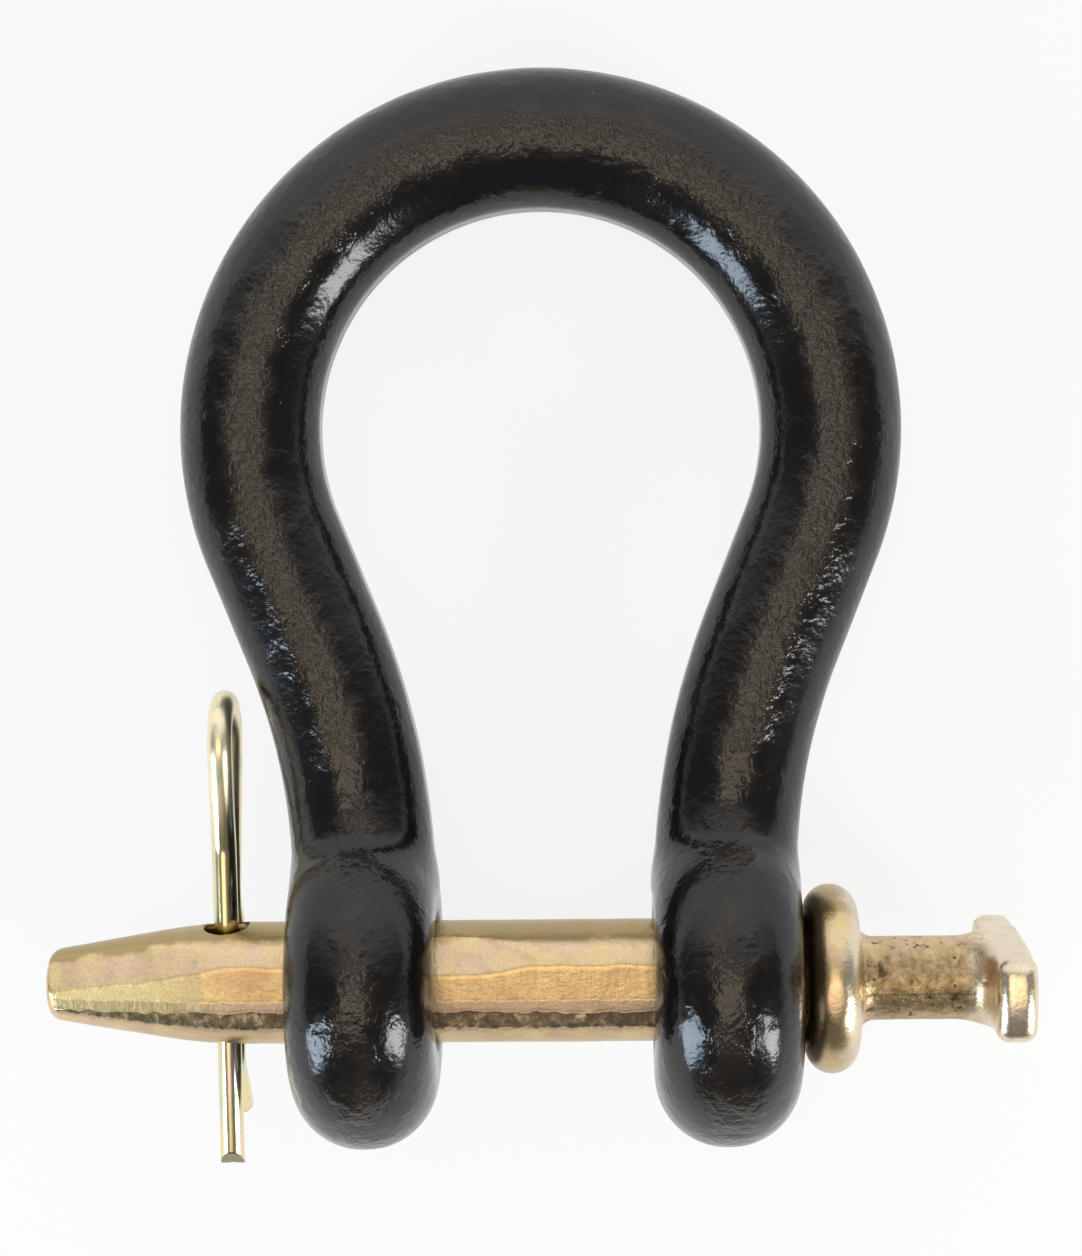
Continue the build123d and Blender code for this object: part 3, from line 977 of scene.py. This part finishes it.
def clip_stretches(pin, clip):
    """The clip's straight runs, each with its two ends, and its bends, each with its headings and turn."""
    leg = -(clip.clearance - clip.seat_gap)
    pinch = leg - clip.wire - clip.pinch_gap - clip.pinch_radius
    bends = [
        (clip.shoulder_rise, leg + clip.shoulder_radius, clip.shoulder_radius),
        (clip.loop_rise, leg + clip.loop_swell - clip.loop_radius, clip.loop_radius),
        (clip.upper_pinch, pinch, clip.pinch_radius),
        (0.0, 0.0, pin.shank / 2 + clip.seat_gap + clip.wire / 2),
        (-clip.lower_pinch, pinch, clip.pinch_radius),
    ]
    stretches = [(np.array([-clip.straight_reach, leg]), np.array([clip.shoulder_rise, leg]))]
    heading = 0.0
    turning = 1
    for bend, following in zip(bends, bends[1:]):
        onward = run_heading(bend, following, turning)
        stretches.append((bend, heading, onward, turning))
        stretches.append((heading_point(bend, onward, turning), heading_point(following, onward, -turning)))
        heading = onward
        turning = -turning
    flare = math.pi + clip.wavy_flare
    start = heading_point(bends[-1], flare, turning)
    fall = clip.wavy_reach + start[0]
    stretches.append((bends[-1], heading, flare, turning))
    stretches.append((start, np.array([-clip.wavy_reach, start[1] + fall * math.sin(flare)])))
    return stretches


def clip_path(pin, clip, spacing):
    """Evenly spaced points of the clip's centre line, from the straight leg's end to the tail's."""
    stretches = clip_stretches(pin, clip)
    points = []
    for stretch in stretches:
        if len(stretch) == 2:
            start, end = stretch
            count = max(2, round(np.linalg.norm(end - start) / spacing))
            points += [start + (end - start) * i / count for i in range(count)]
        else:
            bend, first, last, way = stretch
            sweep = (way * (last - first)) % (2 * math.pi)
            count = max(3, round(bend[2] * sweep / spacing))
            points += [heading_point(bend, first + way * sweep * i / count, way) for i in range(count)]
    points.append(stretches[-1][1])
    return np.array(points)


class ClipForm:
    """The clip's form: rings of points along its centre line, closed by smaller rings at its two cut ends."""

    spacing = 0.4 * MM
    spokes = 32
    end_rings = (0.0, 0.35, 0.7, 0.93)
    # Depth of the hair-line groove that shearing leaves in the straight leg's end, in radii
    groove = 0.0084
    # The slant of the sheared end is taken up along the leg over this many radii
    bevel_run = 6
    # The plating turns matt between these heights over the pin's axis
    matt_from = (22 * MM, 30 * MM)

    def __init__(self, pin, clip, hole):
        self.radius = clip.wire / 2
        self.bevel = clip.straight_bevel
        self.hole = hole
        self.path = clip_path(pin, clip, self.spacing)

    def rings(self):
        """Each ring's centre, the way across the wire there, and its share of the wire's radius."""
        path = self.path
        step = np.gradient(path, axis=0)
        step /= np.linalg.norm(step, axis=1)[:, None]
        side = np.stack([-step[:, 1], step[:, 0]], axis=1)
        sunk = path[0] + step[0] * self.radius * self.groove
        start = [(sunk if part == self.end_rings[-1] else path[0], side[0], part) for part in self.end_rings]
        middle = [(path[i], side[i], 1.0) for i in range(len(path))]
        end = [(path[-1], side[-1], part) for part in reversed(self.end_rings)]
        return start + middle + end

    def sheared(self, points):
        """The points with the straight leg's end slanted."""
        end_x, leg_y = self.path[0]
        reach = self.bevel_run * self.radius
        end = end_x + np.clip(points[:, 2] - (leg_y + self.radius - self.bevel), 0, None)
        on_leg = (np.abs(points[:, 2] - leg_y) < 1.01 * self.radius) & (points[:, 1] < end_x + reach)
        run = np.clip((points[:, 1] - end_x) / reach, 0, 1)
        points[:, 1] = np.where(on_leg, end + (end_x + reach - end) * run, points[:, 1])
        return points

    def mesh(self):
        """Points and quads of the wire, in the plane of the cross hole."""
        points = []
        for centre, across, part in self.rings():
            for angle in np.arange(self.spokes) * 2 * math.pi / self.spokes:
                flat = centre + across * self.radius * part * math.cos(angle)
                points.append((self.radius * part * math.sin(angle), flat[0], flat[1]))
        points = self.sheared(np.array(points))
        points[:, 0] += self.hole
        faces = []
        for first in range(0, len(points) - self.spokes, self.spokes):
            for spoke in range(self.spokes):
                near, far = first + spoke, first + (spoke + 1) % self.spokes
                faces.append((near, far, far + self.spokes, near + self.spokes))
        return points, faces

    def facts(self, points):
        """Where the plating is matt, on the loop, and where the wire was cut."""
        ring = np.arange(len(points)) // self.spokes
        capped = len(self.end_rings)
        cut = (ring < capped) | (ring >= len(points) // self.spokes - capped)
        return {"matt": smooth_step(points[:, 1], *self.matt_from), "cut": cut.astype(float)}


class CLEVIS_OT_bow(bpy.types.Operator):
    """Forge the bow: one bar with an eye at each end, under black enamel"""

    bl_idname = "clevis.bow"
    bl_label = "Bow"

    def execute(self, context):
        bow = settings().clevis_bow
        form = BowForm(bow)
        half = bow.bar / 2
        low = (-bow.crown_radius - half, -bow.eye_radius, -bow.eye_radius)
        high = (bow.crown_radius + half, bow.crown_height + half, bow.eye_radius)
        points, quads = forged(form, low, high, bow.cell, step=0.1 * MM)
        placed = points @ bow_frame().T
        piece = mesh_piece("clevis_bow_forging", placed, quads, enamel_material(bow), form.facts(points))
        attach(piece, "bow")
        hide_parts("clevis_bow")
        return {"FINISHED"}


class CLEVIS_OT_pin(bpy.types.Operator):
    """Forge the clevis pin with its nose, collar, neck and cross bar, under yellow zinc"""

    bl_idname = "clevis.pin"
    bl_label = "Pin"

    def execute(self, context):
        pin = settings().clevis_pin
        form = PinForm(pin, settings().clevis_clip)
        low = (form.nose, -form.collar_radius, -form.bar_reach)
        high = (form.bar_end, form.collar_radius, form.bar_reach)
        points, quads = forged(form, low, high, pin.cell, step=0.05 * MM)
        placed = points @ pin_frame().T
        coat = ZincCoat(pin).material()
        piece = mesh_piece("clevis_pin_forging", placed, quads, coat, form.facts(points))
        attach(piece, "pin")
        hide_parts("clevis_pin")
        return {"FINISHED"}


class CLEVIS_OT_clip(bpy.types.Operator):
    """Bend the hairpin clip from one wire, under bright yellow zinc"""

    bl_idname = "clevis.clip"
    bl_label = "Hairpin clip"

    def execute(self, context):
        pin = settings().clevis_pin
        clip = settings().clevis_clip
        form = ClipForm(pin, clip, PinForm(pin, clip).hole)
        points, faces = form.mesh()
        placed = points @ pin_frame().T
        piece = mesh_piece("hairpin_clip_wire", placed, faces, wire_material(clip), form.facts(points))
        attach(piece, "pin")
        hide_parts("hairpin_clip")
        return {"FINISHED"}


def floor_material(stage):
    """Pale floor that looks nearly white, with the object's soft shadow kept."""
    glowing_share = 0.85
    paper = material_graph("floor_paper")
    paper.shade(Base_Color=(*stage.floor_colour, 1.0), Roughness=0.9)
    glow = paper.node("Emission", Color=(*WHITE, 1.0), Strength=1.0)
    rays = paper.node("LightPath")
    seen = paper.math("MAXIMUM", rays.outputs["Is Camera Ray"], rays.outputs["Is Glossy Ray"])
    seen = paper.math("MAXIMUM", seen, rays.outputs["Is Transmission Ray"])
    both = paper.node("MixShader")
    paper.join(both.inputs[0], paper.times(seen, glowing_share))
    paper.join(both.inputs[1], paper.tree.nodes["Principled BSDF"].outputs[0])
    paper.join(both.inputs[2], glow.outputs[0])
    paper.join(paper.tree.nodes["Material Output"].inputs["Surface"], both.outputs[0])
    return paper.owner


def soft_light(name, target, azimuth, elevation, width, height, power, colour):
    """An area light that faces the target from this direction, azimuth 0 being towards the crown."""
    distance = 0.8
    data = bpy.data.lights.new(name, "AREA")
    data.shape = "RECTANGLE"
    data.size = width
    data.size_y = height
    data.energy = power
    data.color = colour
    around = math.radians(azimuth)
    above = math.radians(elevation)
    level = math.cos(above)
    away = Vector((math.sin(around) * level, math.cos(around) * level, math.sin(above)))
    light = bpy.data.objects.new(name, data)
    light.location = target + away * distance
    light.rotation_euler = away.to_track_quat("Z", "Y").to_euler()
    bpy.context.scene.collection.objects.link(light)


def set_world():
    """A dim room with a broad window beyond the crown and a warm one overhead.

    Its walls are white near the floor, and dimmer on the near side.
    """
    room_light = 0.14
    most_light = 1.1
    overhead_light = 2.2
    world = bpy.data.worlds.new("studio")
    bpy.context.scene.world = world
    room = Graph(world)
    direction = room.node("SeparateXYZ", Vector=room.node("TexCoord").outputs["Generated"])
    right, away, up = (direction.outputs[axis] for axis in "XYZ")
    walls = room.times(room.between(away, -0.8, -0.2, 0.3, 0.72), room.between(up, 0.06, 0.2, 1.0, 0.0))
    beyond = room.between(away, 0.25, 0.7, 0.0, 0.96)
    leftward = room.between(right, -0.04, -0.3, 0.0, 0.045)
    overhead = room.between(room.plus(up, leftward), 0.925, 0.983)
    light = room.math("MINIMUM", room.plus(walls, beyond, room_light), most_light)
    light = room.math("MAXIMUM", light, room.times(overhead, overhead_light))
    back = room.tree.nodes["Background"]
    room.join(back.inputs["Strength"], light)
    room.join(back.inputs["Color"], room.mixed(overhead, WHITE, WARM_WHITE))


def set_camera(stage):
    """The camera over the bow's plane, as the photograph was taken."""
    data = bpy.data.cameras.new("camera")
    data.lens = stage.lens / MM
    data.sensor_width = 36.0
    data.sensor_fit = "AUTO"
    camera = bpy.data.objects.new("camera", data)
    own = Matrix.Translation(stage.camera_place) @ Euler(stage.camera_turn).to_matrix().to_4x4()
    camera.matrix_world = Matrix(bow_frame().tolist()).to_4x4() @ own
    bpy.context.scene.collection.objects.link(camera)
    bpy.context.scene.camera = camera


class CLEVIS_OT_stage(bpy.types.Operator):
    """Set the pale floor, the soft lights and the camera"""

    bl_idname = "clevis.stage"
    bl_label = "Stage"

    def execute(self, context):
        stage = settings().clevis_stage
        low, high = (Vector(corner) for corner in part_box("clevis_bow"))
        half = 2.0
        signs = ((-1, -1), (1, -1), (1, 1), (-1, 1))
        corners = np.array([(half * x, half * y, low.z) for x, y in signs])
        floor = mesh_piece("floor", corners, [(0, 1, 2, 3)], floor_material(stage))
        middle = (low + high) / 2
        soft_light(
            "right_window", middle, azimuth=122, elevation=25,
            width=0.25, height=0.40, power=3.6, colour=WHITE,
        )
        soft_light(
            "left_window", middle, azimuth=237, elevation=22,
            width=0.26, height=0.42, power=3.5, colour=COOL_WHITE,
        )
        set_world()
        set_camera(stage)
        context.scene.view_settings.view_transform = "Standard"
        return {"FINISHED"}


class CLEVIS_PT_pieces(bpy.types.Panel):
    """Lists the clevis's pieces and its stage"""

    bl_idname = "CLEVIS_PT_pieces"
    bl_label = "Clevis"
    bl_space_type = "VIEW_3D"
    bl_region_type = "UI"
    bl_category = "Clevis"

    def draw(self, context):
        for operator in OPERATORS:
            self.layout.operator(operator.bl_idname)


PROPERTIES = {
    "clevis_bow": BowProperties,
    "clevis_pin": PinProperties,
    "clevis_clip": ClipProperties,
    "clevis_stage": StageProperties,
}
OPERATORS = (CLEVIS_OT_bow, CLEVIS_OT_pin, CLEVIS_OT_clip, CLEVIS_OT_stage)


def register():
    for name, group in PROPERTIES.items():
        bpy.utils.register_class(group)
        setattr(bpy.types.Scene, name, PointerProperty(type=group))
    for operator in OPERATORS:
        bpy.utils.register_class(operator)
    bpy.utils.register_class(CLEVIS_PT_pieces)


def unregister():
    bpy.utils.unregister_class(CLEVIS_PT_pieces)
    for operator in reversed(OPERATORS):
        bpy.utils.unregister_class(operator)
    for name, group in PROPERTIES.items():
        delattr(bpy.types.Scene, name)
        bpy.utils.unregister_class(group)


def main():
    """Makes every piece and the stage."""
    register()
    bpy.ops.clevis.bow()
    bpy.ops.clevis.pin()
    bpy.ops.clevis.clip()
    bpy.ops.clevis.stage()


if __name__ == "__main__":
    main()
